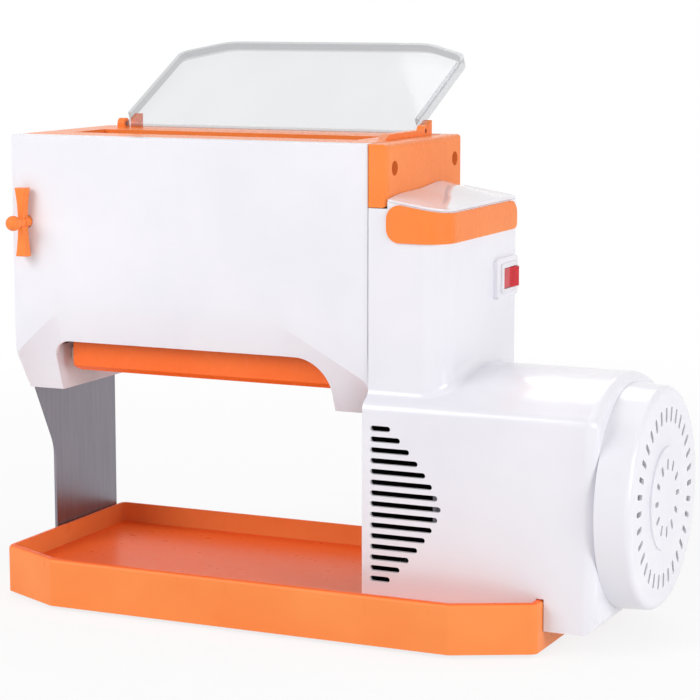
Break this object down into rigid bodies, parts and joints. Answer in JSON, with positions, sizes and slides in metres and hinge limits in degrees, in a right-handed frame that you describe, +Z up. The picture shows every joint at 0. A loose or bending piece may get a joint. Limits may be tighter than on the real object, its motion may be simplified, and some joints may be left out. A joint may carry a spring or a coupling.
{
  "type": "electric pasta maker",
  "caption": "Motor-driven pasta maker: press rollers over cutter rollers in a covered head, with a folding feed chute, a thickness knob and a rocker switch.",
  "frame": {"origin": "centre of the underside of the whole machine, on the surface that the rubber feet stand on", "axes": "+X to the right towards the motor, along the rollers; +Y to the back, away from the noodle outlet; +Z up"},
  "size_m": [0.3486, 0.195, 0.2905],
  "materials": {
    "orange_abs": "glossy injection-moulded ABS",
    "white_abs": "glossy injection-moulded ABS",
    "clear_plastic": "clear moulded polycarbonate",
    "plate_steel": "rolled stainless sheet",
    "roller_steel": "ground steel",
    "machined_steel": "turned steel",
    "zinc_screws": "zinc-plated steel",
    "bronze": "sintered bronze",
    "nylon": "natural moulded nylon",
    "die_cast": "die-cast, as cast",
    "laminations": "stacked electrical steel",
    "copper": "enamelled copper wire",
    "black_plastic": "moulded black nylon",
    "rubber": "moulded rubber",
    "switch_white": "glossy nylon",
    "rocker_red": "translucent red acrylic"
  },
  "bodies": {
    "frame": {"base_tray": "orange_abs", "rubber_feet": "rubber", "left_side_plate": "plate_steel", "right_side_plate": "plate_steel", "tie_rods": "machined_steel", "tie_rod_screws": "zinc_screws", "tray_screws": "zinc_screws", "front_cover": "white_abs", "rear_cover": "white_abs", "top_frame": "orange_abs", "press_bushes": "bronze", "cutter_bushes": "bronze", "bearing_caps": "nylon", "front_comb": "nylon", "rear_comb": "nylon", "outlet_lip": "orange_abs", "rear_scraper": "plate_steel", "knob_bracket": "plate_steel", "idler_stud": "machined_steel", "reduction_stud": "machined_steel", "gear_plate": "plate_steel", "gear_plate_pillars": "machined_steel", "motor_stator": "laminations", "motor_windings": "copper", "motor_end_bells": "die_cast", "motor_screws": "zinc_screws", "motor_mounts": "rubber", "run_capacitor": "die_cast", "drive_housing": "white_abs", "drive_wall": "nylon", "column_band": "orange_abs", "column_top": "white_abs", "gear_cover": "orange_abs", "gear_cover_screws": "zinc_screws", "fan_cover": "white_abs", "switch_body": "switch_white", "cord_gland": "rubber"},
    "motor_rotor": {"motor_shaft": "machined_steel", "rotor_core": "laminations", "motor_pinion": "machined_steel", "cooling_fan": "black_plastic"},
    "reduction": {"reduction_gear": "nylon"},
    "rear_cutter": {"rear_cutter_roller": "roller_steel", "cutter_input_gear": "nylon", "rear_cutter_gear": "nylon", "cutter_output_gear": "machined_steel"},
    "front_cutter": {"front_cutter_roller": "roller_steel", "front_cutter_gear": "nylon"},
    "idler": {"idler_gear": "machined_steel"},
    "rear_press": {"rear_press_roller": "roller_steel", "rear_press_gear": "machined_steel"},
    "carriage": {"carriage_blocks": "die_cast", "carriage_yoke": "plate_steel", "front_scraper": "plate_steel"},
    "front_press": {"front_press_roller": "roller_steel", "front_press_gear": "machined_steel"},
    "knob": {"thickness_knob": "orange_abs", "adjusting_screw": "machined_steel"},
    "chute": {"feed_chute": "clear_plastic"},
    "rocker": {"switch_rocker": "rocker_red"}
  },
  "joints": [
    {"name": "motor_spin", "type": "hinge", "parent": "frame", "child": "motor_rotor", "pos_m": [-0.07085, -0.01671, 0.071], "axis": [1, 0, 0], "continuous": true},
    {"name": "reduction_spin", "type": "hinge", "parent": "frame", "child": "reduction", "pos_m": [-0.07085, -0.00435, 0.10799], "axis": [1, 0, 0], "continuous": true},
    {"name": "rear_cutter_spin", "type": "hinge", "parent": "frame", "child": "rear_cutter", "pos_m": [-0.07085, -0.01438, 0.148], "axis": [1, 0, 0], "continuous": true},
    {"name": "front_cutter_spin", "type": "hinge", "parent": "frame", "child": "front_cutter", "pos_m": [-0.07085, -0.04063, 0.148], "axis": [1, 0, 0], "continuous": true},
    {"name": "idler_spin", "type": "hinge", "parent": "frame", "child": "idler", "pos_m": [-0.07085, 0.00349, 0.16823], "axis": [1, 0, 0], "continuous": true},
    {"name": "rear_press_spin", "type": "hinge", "parent": "frame", "child": "rear_press", "pos_m": [-0.07085, -0.00031, 0.199], "axis": [1, 0, 0], "continuous": true},
    {"name": "carriage_slide", "type": "slide", "parent": "frame", "child": "carriage", "axis": [0, -1, 0], "range_m": [0, 0.0025]},
    {"name": "front_press_spin", "type": "hinge", "parent": "carriage", "child": "front_press", "pos_m": [-0.07085, -0.03671, 0.199], "axis": [1, 0, 0], "continuous": true},
    {"name": "thickness_turn", "type": "hinge", "parent": "frame", "child": "knob", "pos_m": [-0.16285, -0.06591, 0.199], "axis": [0, -1, 0], "range_deg": [0, 300]},
    {"name": "chute_fold", "type": "hinge", "parent": "frame", "child": "chute", "pos_m": [-0.06285, 0.01949, 0.2465], "axis": [1, 0, 0], "range_deg": [0, 100]},
    {"name": "rocker_tilt", "type": "hinge", "parent": "frame", "child": "rocker", "pos_m": [0.07115, 0.01749, 0.1725], "axis": [0, 0, 1], "range_deg": [0, 14]}
  ],
  "couplings": [
    {"joint": "reduction_spin", "follows": "motor_spin", "ratio": -0.18182},
    {"joint": "rear_cutter_spin", "follows": "motor_spin", "ratio": 0.048951},
    {"joint": "front_cutter_spin", "follows": "motor_spin", "ratio": -0.048951},
    {"joint": "idler_spin", "follows": "motor_spin", "ratio": -0.052716},
    {"joint": "rear_press_spin", "follows": "motor_spin", "ratio": 0.038073},
    {"joint": "front_press_spin", "follows": "motor_spin", "ratio": -0.038073},
    {"joint": "thickness_turn", "follows": "carriage_slide", "rad_per_m": 2094.4}
  ]
}
